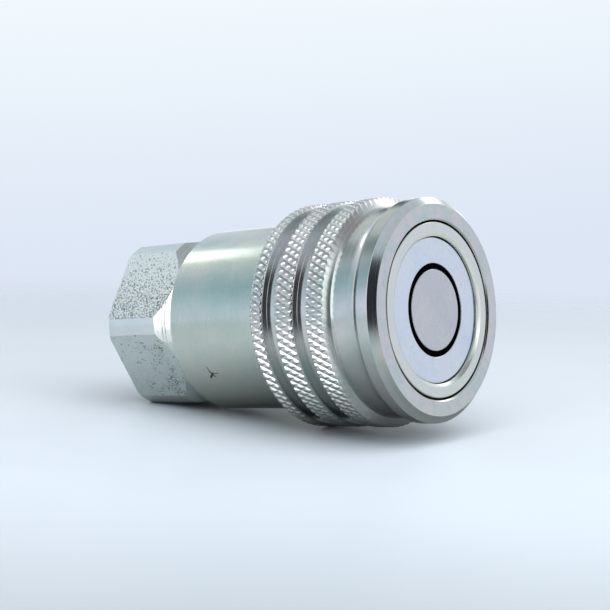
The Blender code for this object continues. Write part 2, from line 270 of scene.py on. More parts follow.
def creased(first, second, here, after, relief, verts):
    """Triangles between two fine rings, folded along the diagonal that follows the relief."""
    count = len(first)
    x, radius = (here + after) / 2
    middle = relief(x, np.full(count, radius), (np.arange(count) + 0.5) * 2 * math.pi / count)
    one = np.hypot(*np.array([verts[v][1:] for v in first]).T) / MM
    two = np.hypot(*np.array([verts[v][1:] for v in second]).T) / MM
    rising = np.abs((one + np.roll(two, -1)) / 2 - middle)
    falling = np.abs((np.roll(one, -1) + two) / 2 - middle)
    faces = []
    for k in range(count):
        a, b = first[k], first[(k + 1) % count]
        c, d = second[(k + 1) % count], second[k]
        faces += [[a, b, c], [a, c, d]] if rising[k] < falling[k] else [[a, b, d], [b, c, d]]
    return faces


def mesh_object(name, verts, faces, sharp=32):
    mesh = bpy.data.meshes.new(name)
    mesh.from_pydata([tuple(map(float, v)) for v in verts], [], faces)
    item = bpy.data.objects.new(name, mesh)
    bpy.context.scene.collection.objects.link(item)
    tidy_mesh(item, sharp)
    return item


def tidy_mesh(item, sharp=32):
    """Point the normals outwards and keep edges above the sharp angle crisp."""
    builder = bmesh.new()
    builder.from_mesh(item.data)
    bmesh.ops.recalc_face_normals(builder, faces=builder.faces)
    builder.to_mesh(item.data)
    builder.free()
    item.data.shade_smooth()
    item.data.set_sharp_from_angle(angle=math.radians(sharp))


def weighted(item):
    """Let the large faces rule the shading of the small ones beside them."""
    modifier = item.modifiers.new("weighted", "WEIGHTED_NORMAL")
    modifier.keep_sharp = True
    modifier.weight = 80


def cut_hexagon(item, distance):
    """Slice six flats off a turned piece, each at a distance in millimetres from the axis."""
    builder = bmesh.new()
    builder.from_mesh(item.data)
    for k in range(6):
        angle = 2 * math.pi * (k + 0.5) / 6
        normal = Vector((0, math.cos(angle), math.sin(angle)))
        geom = list(builder.verts) + list(builder.edges) + list(builder.faces)
        cut = bmesh.ops.bisect_plane(builder, geom=geom, dist=1e-7, plane_co=normal * distance * MM,
                                     plane_no=normal, clear_outer=True)
        edges = [e for e in cut["geom_cut"] if isinstance(e, bmesh.types.BMEdge)]
        bmesh.ops.holes_fill(builder, edges=edges, sides=0)
    builder.to_mesh(item.data)
    builder.free()
    tidy_mesh(item, 14)


def drilled(item, cutters):
    """Take the cutters out of a piece and bake the result into its mesh."""
    for cutter in cutters:
        modifier = item.modifiers.new(cutter.name, "BOOLEAN")
        modifier.operation = "DIFFERENCE"
        modifier.solver = "EXACT"
        modifier.object = cutter
    evaluated = item.evaluated_get(bpy.context.evaluated_depsgraph_get())
    mesh = bpy.data.meshes.new_from_object(evaluated)
    item.modifiers.clear()
    item.data = mesh
    for cutter in cutters:
        bpy.data.objects.remove(cutter, do_unlink=True)
    tidy_mesh(item)


def stepped_rod(name, origin, way, stations, segments=28):
    """A round cutter; stations are (distance along way, radius) pairs in millimetres."""
    turn = way.to_track_quat("Z", "Y").to_matrix()
    verts, faces = [], []
    for distance, radius in stations:
        for k in range(segments):
            a = 2 * math.pi * (k + 0.5) / segments
            local = Vector((radius * math.cos(a), radius * math.sin(a), distance))
            verts.append((origin + turn @ local) * MM)
    for row in range(len(stations) - 1):
        for k in range(segments):
            after = (k + 1) % segments
            low, high = row * segments, (row + 1) * segments
            faces.append([low + k, low + after, high + after, high + k])
    faces.append(list(range(segments)))
    faces.append(list(range(len(verts) - segments, len(verts))))
    return mesh_object(name, verts, faces)


def coil(name, front, rear, mean_r, wire_d, turns, sides=14, steps=56):
    """A compression spring between two x stations, with closed end turns."""
    wire = wire_d / 2
    start, end = front - wire, rear + wire
    count = round(turns * steps)
    t = np.linspace(0, turns, count + 1)
    closed_turns = 0.7
    open_turns = turns - 2 * closed_turns
    closed_pitch = wire_d * 1.02
    open_pitch = (abs(end - start) - 2 * closed_turns * closed_pitch) / open_turns
    pitch = np.where((t < closed_turns) | (t > turns - closed_turns), closed_pitch, open_pitch)
    kernel = np.ones(steps // 3) / (steps // 3)
    margin = steps // 2
    pitch = np.convolve(np.pad(pitch, margin, mode="edge"), kernel, mode="same")[margin:-margin]
    travel = np.concatenate(([0], np.cumsum((pitch[1:] + pitch[:-1]) / 2)))
    x = start + (end - start) * travel / travel[-1]
    angle = 2 * math.pi * t
    verts, faces = [], []
    for k in range(count + 1):
        outward = Vector((0, math.cos(angle[k]), math.sin(angle[k])))
        centre = outward * mean_r + Vector((x[k], 0, 0))
        for side in range(sides):
            a = 2 * math.pi * side / sides
            aside = outward * math.cos(a) + Vector((1, 0, 0)) * math.sin(a)
            verts.append((centre + aside * wire) * MM)
    for k in range(count):
        for side in range(sides):
            after = (side + 1) % sides
            low, high = k * sides, (k + 1) * sides
            faces.append([low + side, low + after, high + after, high + side])
    faces.append(list(range(sides)))
    faces.append(list(range(len(verts) - sides, len(verts))))
    return mesh_object(name, verts, faces, 50)


def torus(name, centre_x, centre_r, section, segments=TURNED, sides=20, squeeze=0.92):
    """An O-ring whose section is slightly squeezed towards the axis."""
    angles = [2 * math.pi * k / sides for k in range(sides)]
    points = [np.array((centre_x + section * math.cos(a), centre_r + section * squeeze * math.sin(a)))
              for a in angles]
    return lathe(name, points, segments)


def triangle_wave(phase):
    """0 at whole phases, 1 halfway between them."""
    return 1 - np.abs(2 * (phase % 1) - 1)


def helix(x, angle, pitch, steepness, valley):
    """Share of a thread's depth, from 0 to 1, at a station and an angle round the axis."""
    wave = triangle_wave(x / pitch - angle / (2 * math.pi))
    return np.clip(wave * steepness - valley, 0, 1)


def ride(item, body, slot, *nodes):
    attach(item, body)
    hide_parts(*nodes)


# ---------------------------------------------------------------- materials
# Noise scales are per metre. A ramp is (value, low, high, value at low, value at high).

class Shader:
    """A short way to add and link nodes in one tree."""

    def __init__(self, tree):
        self.tree = tree

    def add(self, kind, ins=None, **settings):
        item = self.tree.nodes.new(kind)
        for key, value in settings.items():
            setattr(item, key, value)
        for key, value in (ins or {}).items():
            if isinstance(value, bpy.types.NodeSocket):
                self.tree.links.new(value, item.inputs[key])
            else:
                item.inputs[key].default_value = value
        return item

    def math(self, operation, a, b=0.0):
        return self.add("ShaderNodeMath", {0: a, 1: b}, operation=operation).outputs[0]

    def blend(self, factor, a, b, mode="MIX"):
        item = self.add("ShaderNodeMix", {0: factor, 6: a, 7: b}, data_type="RGBA", blend_type=mode)
        return item.outputs[2]

    def ramp(self, value, low, high, out_low=0.0, out_high=1.0, smooth=True):
        kind = "SMOOTHSTEP" if smooth else "LINEAR"
        item = self.add("ShaderNodeMapRange", {0: value, 1: low, 2: high, 3: out_low, 4: out_high},
                        interpolation_type=kind)
        return item.outputs[0]

    def noise(self, vector, scale, detail, roughness):
        item = self.add("ShaderNodeTexNoise", {"Vector": vector, "Scale": scale, "Detail": detail,
                                               "Roughness": roughness})
        return item.outputs["Fac"]

    def stretched(self, vector, scale, turn):
        item = self.add("ShaderNodeMapping", {"Vector": vector, "Scale": scale, "Rotation": turn})
        return item.outputs[0]

    def grey(self, value):
        return self.add("ShaderNodeCombineColor", {0: value, 1: value, 2: value}).outputs[0]

    def link(self, value, node, key):
        self.tree.links.new(value, node.inputs[key])


def blank_material(name):
    """A new material, the helper for its nodes and its Principled shader."""
    material = bpy.data.materials.new(name)
    material.use_nodes = True
    return material, Shader(material.node_tree), material.node_tree.nodes["Principled BSDF"]


def turned_coordinates(s):
    """The place on the piece, the same as (x, a small share of the angle, radius), and x, y, z.

    A noise in the second runs round the axis in fine lines.
    """
    place = s.add("ShaderNodeTexCoord").outputs["Object"]
    split = s.add("ShaderNodeSeparateXYZ", {0: place})
    x, y, z = split.outputs
    radius = s.math("SQRT", s.math("ADD", s.math("MULTIPLY", y, y), s.math("MULTIPLY", z, z)))
    angle = s.math("ARCTAN2", y, z)
    share = s.math("MULTIPLY", angle, 0.00012)
    vector = s.add("ShaderNodeCombineXYZ", {0: x, 1: share, 2: radius}).outputs[0]
    return place, vector, (x, y, z)


def metal(name, tints, roughness, line_depth=0.0016, line_scale=7000, anisotropy=0.35, wrench=False,
          struck=False, face=None, worn=0.0):
    """Zinc plated or bare turned steel: fine turning lines, a drifting tint and light scratches.

    wrench adds pitted wrench flats with painted highlights, struck the star of scratches, face two
    clouded tints for what lies ahead of the mating plane, and worn a share of grey wear spots.
    """
    material, s, shader = blank_material(name)
    place, turned, (x, y, z) = turned_coordinates(s)

    lines = s.noise(turned, line_scale, 2.0, 0.7)
    broad = s.noise(turned, line_scale * 0.16, 2.0, 0.5)
    blotch = s.noise(place, 95, 4.0, 0.6)
    mottle = s.noise(place, 900, 3.0, 0.6)

    # tint: three tones in large blotches, a little mottled and lined
    ramp = s.add("ShaderNodeValToRGB", {0: blotch})
    ramp.color_ramp.elements[0].position = 0.32
    ramp.color_ramp.elements[0].color = (*tints[0], 1)
    ramp.color_ramp.elements[1].position = 0.70
    ramp.color_ramp.elements[1].color = (*tints[2], 1)
    middle = ramp.color_ramp.elements.new(0.5)
    middle.color = (*tints[1], 1)
    colour = ramp.outputs[0]
    shade = s.ramp(mottle, 0.3, 0.7, 0.98, 1.015)
    shade = s.math("MULTIPLY", shade, s.ramp(lines, 0.25, 0.75, 0.97, 1.02))
    colour = s.blend(1.0, colour, s.grey(shade), "MULTIPLY")

    # turning lines as relief, with light scratches across them
    long_way = s.noise(s.stretched(place, (9000, 260, 5000), (0.2, 0.5, 0.9)), 1.0, 1.0, 0.5)
    cross_way = s.noise(s.stretched(place, (700, 9000, 9000), (0.7, -0.3, 0.4)), 1.0, 1.0, 0.5)
    scratch = s.math("MAXIMUM", s.ramp(long_way, 0.74, 0.81), s.ramp(cross_way, 0.76, 0.83))
    height = s.math("ADD", lines, s.math("MULTIPLY", broad, 2.4))
    height = s.math("SUBTRACT", height, s.math("MULTIPLY", scratch, 0.8))
    rough = s.math("ADD", s.ramp(lines, 0.25, 0.75, roughness - 0.04, roughness + 0.05),
                   s.math("MULTIPLY", scratch, 0.06))
    if wrench:
        colour, rough, height = wrench_flats(s, place, (x, z), colour, rough, height)
    if face:
        clouds = s.ramp(s.noise(place, 330, 4.0, 0.65), 0.38, 0.62)
        mottled = s.blend(clouds, (*face[0], 1), (*face[1], 1))
        colour = s.blend(s.ramp(x, 0.0002, 0.0005), colour, mottled)
    if worn:
        spots = s.ramp(s.noise(place, 620, 4.0, 0.65), 0.60, 0.74)
        colour = s.blend(s.math("MULTIPLY", spots, worn), colour, (0.30, 0.33, 0.36, 1))
        rough = s.math("ADD", rough, s.math("MULTIPLY", spots, 0.10))
    if struck:
        mark = strike_mark(s, (x, y, z))
        colour = s.blend(s.math("MULTIPLY", mark, 0.92), colour, (0.015, 0.02, 0.02, 1))
        rough = s.math("ADD", rough, s.math("MULTIPLY", mark, 0.3))

    bump = s.add("ShaderNodeBump", {"Height": height, "Strength": 1.0, "Distance": line_depth * MM})
    tangent = s.add("ShaderNodeTangent", direction_type="RADIAL", axis="X")
    s.link(colour, shader, "Base Color")
    s.link(rough, shader, "Roughness")
    s.link(bump.outputs[0], shader, "Normal")
    s.link(tangent.outputs[0], shader, "Tangent")
    shader.inputs["Metallic"].default_value = 1.0
    shader.inputs["Anisotropic"].default_value = anisotropy
    return material


def wrench_flats(s, place, station, colour, rough, height):
    """Matt, pitted wrench flats with a painted highlight on the near upper one; the turned faces beside
    them stay clean, but for a painted highlight at mid height.

    Each flat is found by the direction it faces, near meaning the -Y side.
    """
    normal = s.add("ShaderNodeTexCoord").outputs["Normal"]
    _, ny, nz = s.add("ShaderNodeSeparateXYZ", {0: normal}).outputs
    x, z = station
    slant = s.math("MULTIPLY", ny, math.cos(math.radians(30)))
    half_nz = s.math("MULTIPLY", nz, 0.5)

    def facing(value):
        return s.ramp(value, 0.992, 0.998)

    near_upper = facing(s.math("SUBTRACT", half_nz, slant))
    near_lower = facing(s.math("MULTIPLY", s.math("ADD", half_nz, slant), -1))
    far_upper = facing(s.math("ADD", half_nz, slant))
    far_lower = facing(s.math("SUBTRACT", slant, half_nz))
    level = facing(s.math("ABSOLUTE", nz))
    # how thickly each flat is pitted: more lower down, and in clusters on the near lower one
    lower_down = s.ramp(z, 0.0125, 0.004, 0.42, 1.0, smooth=False)
    clusters = s.ramp(s.noise(place, 330, 3.0, 0.6), 0.42, 0.60)
    forward = s.ramp(x, -0.060, -0.050, 0.35, 1.0, smooth=False)
    density = s.math("MULTIPLY", near_upper, lower_down)
    low_share = s.math("MULTIPLY", s.math("MULTIPLY", clusters, forward), 0.95)
    for share, amount in ((near_lower, low_share), (far_upper, 0.5), (far_lower, 0.3), (level, 0.35)):
        density = s.math("ADD", density, s.math("MULTIPLY", share, amount))
    flat = s.math("ADD", near_upper, near_lower)
    for share in (far_upper, far_lower, level):
        flat = s.math("ADD", flat, share)
    flat = s.math("MINIMUM", flat, 1.0)

    # fine specks and rounder pits
    grain = s.noise(place, 4000, 1.5, 0.6)
    threshold = s.math("SUBTRACT", 0.68, s.math("MULTIPLY", density, 0.16))
    specks = s.ramp(s.math("SUBTRACT", grain, threshold), 0.0, 0.04)
    cells = s.add("ShaderNodeTexVoronoi", {"Vector": place, "Scale": 1700.0, "Randomness": 1.0})
    lucky = s.add("ShaderNodeSeparateColor", {0: cells.outputs["Color"]}).outputs[0]
    chosen = s.math("LESS_THAN", lucky, s.math("MULTIPLY", density, 0.55))
    near = s.ramp(cells.outputs["Distance"], 0.22, 0.40, 1.0, 0.0)
    pit = s.math("MAXIMUM", s.math("MULTIPLY", near, chosen), specks)
    pit = s.math("MULTIPLY", pit, s.ramp(density, 0.0, 0.2))

    # tones: a painted highlight on the near upper flat, a slightly darker, greener near lower flat, a
    # painted highlight on the turned corner beside them, and the pits in the flats
    # painted highlight: the near upper flat is turned nearly white
    colour = s.blend(s.math("MULTIPLY", near_upper, 0.9), colour, (0.97, 1.0, 1.0, 1))
    colour = s.blend(s.math("MULTIPLY", near_lower, 0.12), colour, (0.55, 0.66, 0.63, 1))
    # painted highlight on the turned faces at mid height, beside the flats
    corner = s.math("MULTIPLY", s.ramp(s.math("ABSOLUTE", z), 0.0028, 0.0034, 1.0, 0.0),
                    s.math("SUBTRACT", 1.0, flat))
    colour = s.blend(s.math("MULTIPLY", corner, 0.4), colour, (0.98, 1.0, 1.0, 1))
    salt = s.ramp(s.noise(place, 4200, 2.0, 0.6), 0.3, 0.7, 0.84, 1.16)
    salt = s.blend(near_upper, (1, 1, 1, 1), s.grey(salt))
    colour = s.blend(1.0, colour, salt, "MULTIPLY")
    colour = s.blend(s.math("MULTIPLY", pit, 0.85), colour, (0.07, 0.09, 0.085, 1))
    rough = s.math("ADD", rough, s.math("MULTIPLY", flat, 0.16))
    rough = s.math("ADD", rough, s.math("MULTIPLY", pit, 0.12))
    height = s.math("SUBTRACT", height, s.math("MULTIPLY", pit, 6.0))
    return colour, rough, height


def strike_mark(s, place):
    """A small star of dark scratches on the side of the barrel."""
    x, y, z = place
    along = s.math("MULTIPLY", s.math("SUBTRACT", x, STRIKE[0] * MM), 1 / MM)
    angle = s.math("ARCTAN2", z, s.math("MULTIPLY", y, -1))
    around = s.math("MULTIPLY", s.math("SUBTRACT", angle, STRIKE[1]), span("main_body")[2])
    total = None
    for turn, length, width, aside in STRIKE_STROKES:
        c, d = math.cos(turn), math.sin(turn)
        u = s.math("ADD", s.math("MULTIPLY", along, c), s.math("MULTIPLY", around, d))
        v = s.math("SUBTRACT", s.math("MULTIPLY", around, c), s.math("MULTIPLY", along, d))
        u = s.math("ABSOLUTE", s.math("SUBTRACT", u, aside))
        share = s.math("MULTIPLY", s.ramp(u, length * 0.6, length, 1.0, 0.0),
                       s.ramp(s.math("ABSOLUTE", v), width * 0.4, width, 1.0, 0.0))
        total = share if total is None else s.math("MAXIMUM", total, share)
    side = s.math("LESS_THAN", y, 0.0)
    return s.math("MULTIPLY", total, side)


def rubber(name):
    """Moulded seal rubber: nearly black, matt, with a fine grain."""
    material, s, shader = blank_material(name)
    place = s.add("ShaderNodeTexCoord").outputs["Object"]
    grain = s.noise(place, 6000, 3.0, 0.6)
    cloud = s.noise(place, 500, 3.0, 0.6)
    colour = s.blend(s.ramp(cloud, 0.3, 0.75), (0.0006, 0.0006, 0.0008, 1), (0.0018, 0.0018, 0.002, 1))
    s.link(colour, shader, "Base Color")
    s.link(s.ramp(grain, 0.2, 0.8, 0.42, 0.62), shader, "Roughness")
    bump = s.add("ShaderNodeBump", {"Height": grain, "Strength": 0.5, "Distance": 0.01 * MM})
    s.link(bump.outputs[0], shader, "Normal")
    shader.inputs["Specular IOR Level"].default_value = 0.0
    return material


def plastic(name):
    """Off-white backup ring plastic, waxy, with cloudy tone and knife marks round the ring."""
    material, s, shader = blank_material(name)
    place, turned, _ = turned_coordinates(s)
    cloud = s.noise(place, 400, 3.0, 0.6)
    lines = s.noise(turned, 6000, 2.0, 0.6)
    colour = s.blend(s.ramp(cloud, 0.3, 0.7), (0.78, 0.76, 0.70, 1), (0.88, 0.87, 0.83, 1))
    s.link(colour, shader, "Base Color")
    s.link(s.ramp(lines, 0.2, 0.8, 0.38, 0.52), shader, "Roughness")
    bump = s.add("ShaderNodeBump", {"Height": lines, "Strength": 0.6, "Distance": 0.006 * MM})
    s.link(bump.outputs[0], shader, "Normal")
    shader.inputs["Subsurface Weight"].default_value = 0.15
    shader.inputs["Subsurface Scale"].default_value = 0.5 * MM
    return material


# Three tints of each metal, which drift into each other over the piece
GREEN_ZINC = ((0.53, 0.63, 0.60), (0.60, 0.67, 0.63), (0.66, 0.68, 0.65))
BLUE_ZINC = ((0.56, 0.66, 0.69), (0.62, 0.70, 0.72), (0.66, 0.71, 0.70))
NOSE_ZINC = ((0.70, 0.75, 0.81), (0.76, 0.79, 0.84), (0.77, 0.78, 0.80))
SLEEVE_ZINC = ((0.56, 0.63, 0.62), (0.66, 0.68, 0.68), (0.74, 0.71, 0.72))
STEM_STEEL = ((0.57, 0.58, 0.60), (0.62, 0.62, 0.63), (0.65, 0.645, 0.64))
PLAIN_STEEL = ((0.46, 0.46, 0.46), (0.52, 0.52, 0.51), (0.57, 0.56, 0.54))
SPRING_STEEL = ((0.30, 0.31, 0.33), (0.36, 0.36, 0.38), (0.40, 0.40, 0.40))
BALL_STEEL = ((0.60, 0.60, 0.62), (0.64, 0.64, 0.66), (0.67, 0.67, 0.68))
BODY_FACE = ((0.77, 0.765, 0.70), (0.73, 0.75, 0.70))
SLEEVE_FACE = ((0.68, 0.645, 0.63), (0.575, 0.625, 0.59))

finishes = {
    "body_zinc": metal("zinc_body", GREEN_ZINC, 0.19, struck=True, face=BODY_FACE, worn=0.12),
    "adapter_zinc": metal("zinc_adapter", BLUE_ZINC, 0.22, wrench=True),
    "sleeve_zinc": metal("zinc_sleeve", SLEEVE_ZINC, 0.18, face=SLEEVE_FACE, worn=0.25),
    "nose_zinc": metal("zinc_nose", NOSE_ZINC, 0.20, line_scale=5200, worn=0.35),
    "stem_steel": metal("steel_stem", STEM_STEEL, 0.30, line_depth=0.0008, line_scale=5200, worn=0.15),
    "plain_steel": metal("steel_plain", PLAIN_STEEL, 0.34),
    "spring_steel": metal("steel_spring", SPRING_STEEL, 0.30, anisotropy=0.0),
    "ball_steel": metal("steel_ball", BALL_STEEL, 0.10, line_depth=0.0003, anisotropy=0.0),
    "seal_rubber": rubber("rubber_seal"),
    "white_ptfe": plastic("plastic_backup"),
}


def finish(item, body, slot, *nodes):
    item.data.materials.clear()
    item.data.materials.append(finishes[slot])
    ride(item, body, slot, *nodes)
    return item


# ---------------------------------------------------------------- locking sleeve

def make_sleeve():
    """Flange, neck and three knurled bands outside; lip, recess, land and spring bore inside."""
    front, rear, crest = span("locking_sleeve")
    _, _, body_r = span("main_body")
    bore = BODY_FRONT_R + CLEAR
    floor = crest - 1.55
    flange = crest - 0.75
    recess = bore + 1.1
    lip = body_r + 0.15
    spring_bore = body_r + 0.8
    ramp_end = LAND_FRONT_X + (recess - bore) / math.tan(LAND_RAMP)
    first_front, first_rear = BANDS[0]
    outline = [
        (front, bore + 0.25, 0.05), (front, flange - 1.2, 0.1), (front - 1.15, flange, 0.1),
        (-2.36, flange, 0.04), (-2.62, 18.75), (-2.95, 18.54), (-3.28, 18.395), (-3.6, 18.305),
        (-4.05, 18.235), (-4.55, 18.207), (-5.0, floor), (first_front + 0.65, floor, 0.04),
        (first_front, crest, 0.03), (first_rear + 0.08, crest), (first_rear, crest - 0.08),
        (first_rear, floor, 0.1),
    ]
    for band_front, band_rear in BANDS[1:]:
        outline += [
            (band_front + 0.27, floor, 0.06), (band_front + 0.27, crest - 0.5, 0.03),
            (band_front, crest, 0.03), (band_rear + 0.08, crest), (band_rear, crest - 0.08),
        ]
        if band_rear != BANDS[-1][1]:
            outline.append((band_rear, floor, 0.1))
    outline += [
        (rear + 0.1, crest - 0.5, 0.1), (rear, crest - 0.7, 0.1), (rear, lip + 0.3, 0.05),
        (rear + 0.3, lip, 0.05), (BODY_SHOULDER_X, lip), (BODY_SHOULDER_X, spring_bore),
        (LAND_REAR_X, spring_bore), (LAND_REAR_X, bore), (LAND_FRONT_X, bore), (ramp_end, recess),
        (RECESS_FRONT_X, recess), (RECESS_FRONT_X, bore), (front - 0.25, bore, 0.05),
    ]
    zones = [(band_front + 0.26, band_rear - 0.05, crest - 0.6, crest + 1)
             for band_front, band_rear in BANDS]
    points, flags = refined(rounded(outline), zones, KNURL_STEP)

    def knurl(x, radius, angle):
        def groove(phase, depth, sharpness):
            return depth * (1 - np.minimum(triangle_wave(phase) * sharpness, 1))

        around = angle * KNURL_TEETH / (2 * math.pi)
        along = x / KNURL_PITCH
        cut = np.maximum(groove(around - along, *KNURL_DEEP), groove(around + along, *KNURL_SHALLOW))
        return np.minimum(radius, crest - cut)

    sleeve = lathe("sleeve_shell", points, TURNED, knurl, flags)
    weighted(sleeve)
    return finish(sleeve, "sleeve", "sleeve_zinc", "locking_sleeve")


def make_body():
    """Turned body with its ball pockets; the barrel shows between the sleeve and the hexagon."""
    front, rear, barrel = span("main_body")
    snap_x, snap_floor = SNAP_GROOVE
    step_x, thread_bore, chamber, bore, lip = -24.0, 14.2, 13.6, 12.55, 12.38
    outline = [
        (front, 13.0, 0.06), (front, BODY_FRONT_R - 0.02, 0.22), (snap_x, BODY_FRONT_R),
        (snap_x, snap_floor), (BODY_SHOULDER_X, snap_floor), (BODY_SHOULDER_X, barrel, 0.3),
        (rear, barrel, 0.35), (rear, thread_bore + 0.4), (rear + 0.4, thread_bore),
        (CHAMBER_END_X, thread_bore), (CHAMBER_END_X, chamber), (step_x, chamber),
        (step_x, bore), (-0.6, bore), (-0.45, lip), (0.36, lip, 0.05),
    ]
    body = lathe("body_shell", rounded(outline))
    cutters = []
    stations = [(11.95, 1.47), (BALL_CENTRE_R, POCKET_R), (BODY_FRONT_R + 1.0, POCKET_R)]
    for k in range(BALL_COUNT):
        angle = math.radians(90) + 2 * math.pi * k / BALL_COUNT
        way = Vector((0, math.cos(angle), math.sin(angle)))
        cutters.append(stepped_rod(f"pocket_{k}", Vector((BALL_X, 0, 0)), way, stations))
    drilled(body, cutters)
    weighted(body)
    return finish(body, "housing", "body_zinc", "main_body")


def make_adapter():
    """Hexagon with turned-off corners and a chamfer cone, spigot thread and port thread."""
    front, rear, flat = span("rear_adapter")
    turned_r = flat * 1.1
    cone_rear = rear + 12.35
    neck_r = flat - 0.15
    cone_front = cone_rear + (turned_r - neck_r) / math.tan(math.radians(30))
    cone_rings = []
    for share in (0.36, 0.52):
        for aside, sunk in ((0.0, 0.0), (0.02, 0.035), (0.04, 0.0)):
            place = share + aside
            cone_rings.append((cone_front + (cone_rear - cone_front) * place,
                               neck_r + (turned_r - neck_r) * place - sunk))
    groove_front, groove_rear, groove_r = SPIGOT_GROOVE
    outline = [
        (front, FLOW_R, 0.1), (front, 13.5, 0.05), (front - 0.4, SPIGOT_R, 0.05),
        (groove_front, SPIGOT_R, 0.05), (groove_front, groove_r, 0.1), (groove_rear, groove_r, 0.1),
        (groove_rear, SPIGOT_R, 0.05), (SPIGOT_REAR_X, SPIGOT_R), (SPIGOT_REAR_X, neck_r, 0.1),
        (cone_front, neck_r), *cone_rings, (cone_rear, turned_r), (rear + 0.3, turned_r),
        (rear, turned_r - 0.3), (rear, 10.95, 0.05), (rear + 1.3, PORT_R), (PORT_DEPTH_X, PORT_R),
        (-47.7, FLOW_R, 0.2),
    ]
    zones = [(-42.35, -46.55, 13.8, 14.0), (-48.4, rear + 0.02, 9.2, 10.9)]
    points, flags = refined(rounded(outline), zones, 0.16)

    def thread(x, radius, angle):
        ridge = helix(x, angle, PIPE_PITCH, 1.4, 0.2)
        if x > (SPIGOT_REAR_X + PORT_DEPTH_X) / 2:
            return radius - 0.5 * ridge
        depth = np.clip((PORT_THREAD_END_X - x) / 1.5, 0, 1) * 1.05
        return np.maximum(radius, PORT_R + depth * ridge)

    adapter = lathe("adapter_shell", points, THREADED, thread, flags)
    cut_hexagon(adapter, flat)
    weighted(adapter)
    return finish(adapter, "housing", "adapter_zinc", "rear_adapter")


def make_nose():
    """Valve sleeve: the flush bright ring, with its seal groove and rear collar."""
    front, rear, collar = span("valve_sleeve")
    outer = collar - 1.05
    relief, flow, seal_bore = 11.05, 9.2, 7.86
    groove_front, groove_rear, groove_r = VALVE_GROOVE
    outline = [
        (front, 7.95, 0.08), (front, outer, 0.2), (-1.5, outer, 0.1), (-2.3, relief, 0.2),
        (-11.6, relief, 0.2), (-12.4, outer, 0.1), (groove_front, outer, 0.05),
        (groove_front, groove_r, 0.1), (groove_rear, groove_r, 0.1), (groove_rear, outer, 0.05),
        (-24.3, outer, 0.1), (-24.3, collar, 0.1), (rear, collar, 0.1), (rear, flow, 0.1),
        (-6.6, flow, 0.1), (-5.2, seal_bore, 0.1), (-0.1, seal_bore, 0.05),
    ]
    nose = lathe("nose_ring", rounded(outline))
    weighted(nose)
    finish(nose, "valve", "nose_zinc", "valve_sleeve")
    finish(torus("nose_o_ring", -16.1, 11.45, 0.8), "valve", "seal_rubber", "valve_sleeve_o_ring")
    ring = [(-17.2, 10.65, 0.08), (-17.2, 12.25, 0.08), (-17.9, 12.25, 0.08), (-17.9, 10.65, 0.08)]
    finish(lathe("nose_backup_ring", rounded(ring)), "valve", "white_ptfe", "valve_sleeve_backup_ring")


def make_stem():
    """Fixed centre stem with its bonded face seal, flow spider, lock washer and nut."""
    front, rear, _ = span("stem")
    face_r, seat_r, head_r = 6.9, 5.7, 7.5
    outline = [
        (front, 0.0), (front, face_r, 0.16), (-0.95, face_r), (-0.95, seat_r), (-2.95, seat_r),
        (-2.95, head_r, 0.1), (-4.6, head_r, 0.4), (-8.2, STEM_ROD_R, 0.8),
        (CHAMBER_END_X, STEM_ROD_R, 0.1), (CHAMBER_END_X, STEM_THREAD_R),
        (rear + 0.4, STEM_THREAD_R), (rear, 1.7), (rear, 0.0),
    ]
    zones = [(-35.9, rear + 0.3, 1.9, 2.2)]
    points, flags = refined(rounded(outline, closed=False), zones, 0.09)

    def thread(x, radius, angle):
        return radius - 0.28 * helix(x, angle, STEM_PITCH, 1.3, 0.15)

    stem = lathe("centre_stem", points, SMALL_TURNED, thread, flags, closed=False)
    weighted(stem)
    finish(stem, "housing", "stem_steel", "stem")

    seal = [
        (-0.06, 7.0, 0.08), (-0.06, 7.68, 0.12), (-2.7, 7.72, 0.15), (-2.7, 5.95, 0.1),
        (-1.2, 5.95, 0.1), (-1.2, 6.98, 0.05),
    ]
    lip = lathe("face_seal", rounded(seal, 4))
    finish(lip, "housing", "seal_rubber", "stem_face_seal")

    spider_front, spider_rear, spider_r = span("stem_support")
    ring = [(spider_front, STEM_HOLE_R, 0.1), (spider_front, spider_r, 0.2),
            (spider_rear, spider_r, 0.2), (spider_rear, STEM_HOLE_R, 0.1)]
    spider = lathe("flow_spider", rounded(ring), SMALL_TURNED)
    cutters = []
    through = [(spider_rear - 1, FLOW_HOLE_R), (spider_front + 1, FLOW_HOLE_R)]
    for k in range(FLOW_HOLE_COUNT):
        angle = math.radians(60 * k + 7)
        centre = Vector((0, math.cos(angle), math.sin(angle))) * FLOW_HOLE_RING_R
        cutters.append(stepped_rod(f"flow_hole_{k}", centre, Vector((1, 0, 0)), through, 40))
    drilled(spider, cutters)
    finish(spider, "housing", "plain_steel", "stem_support")

    washer_front, washer_rear, washer_r = span("stem_lock_washer")
    ring = [(washer_front, STEM_HOLE_R, 0.06), (washer_front, washer_r, 0.1),
            (washer_rear, washer_r, 0.1), (washer_rear, STEM_HOLE_R, 0.06)]
    washer = lathe("lock_washer", rounded(ring), SMALL_TURNED)
    finish(washer, "housing", "spring_steel", "stem_lock_washer")

    nut_front, nut_rear, _ = span("stem_nut")
    corner = NUT_FLAT / math.cos(math.radians(30))
    face_r = NUT_FLAT + 0.05
    ring = [(nut_front, STEM_HOLE_R), (nut_front, face_r), (nut_front - 0.35, corner),
            (nut_rear + 0.35, corner), (nut_rear, face_r), (nut_rear, STEM_HOLE_R)]
    nut = lathe("hex_nut", rounded(ring), SMALL_TURNED)
    cut_hexagon(nut, NUT_FLAT)
    finish(nut, "housing", "plain_steel", "stem_nut")


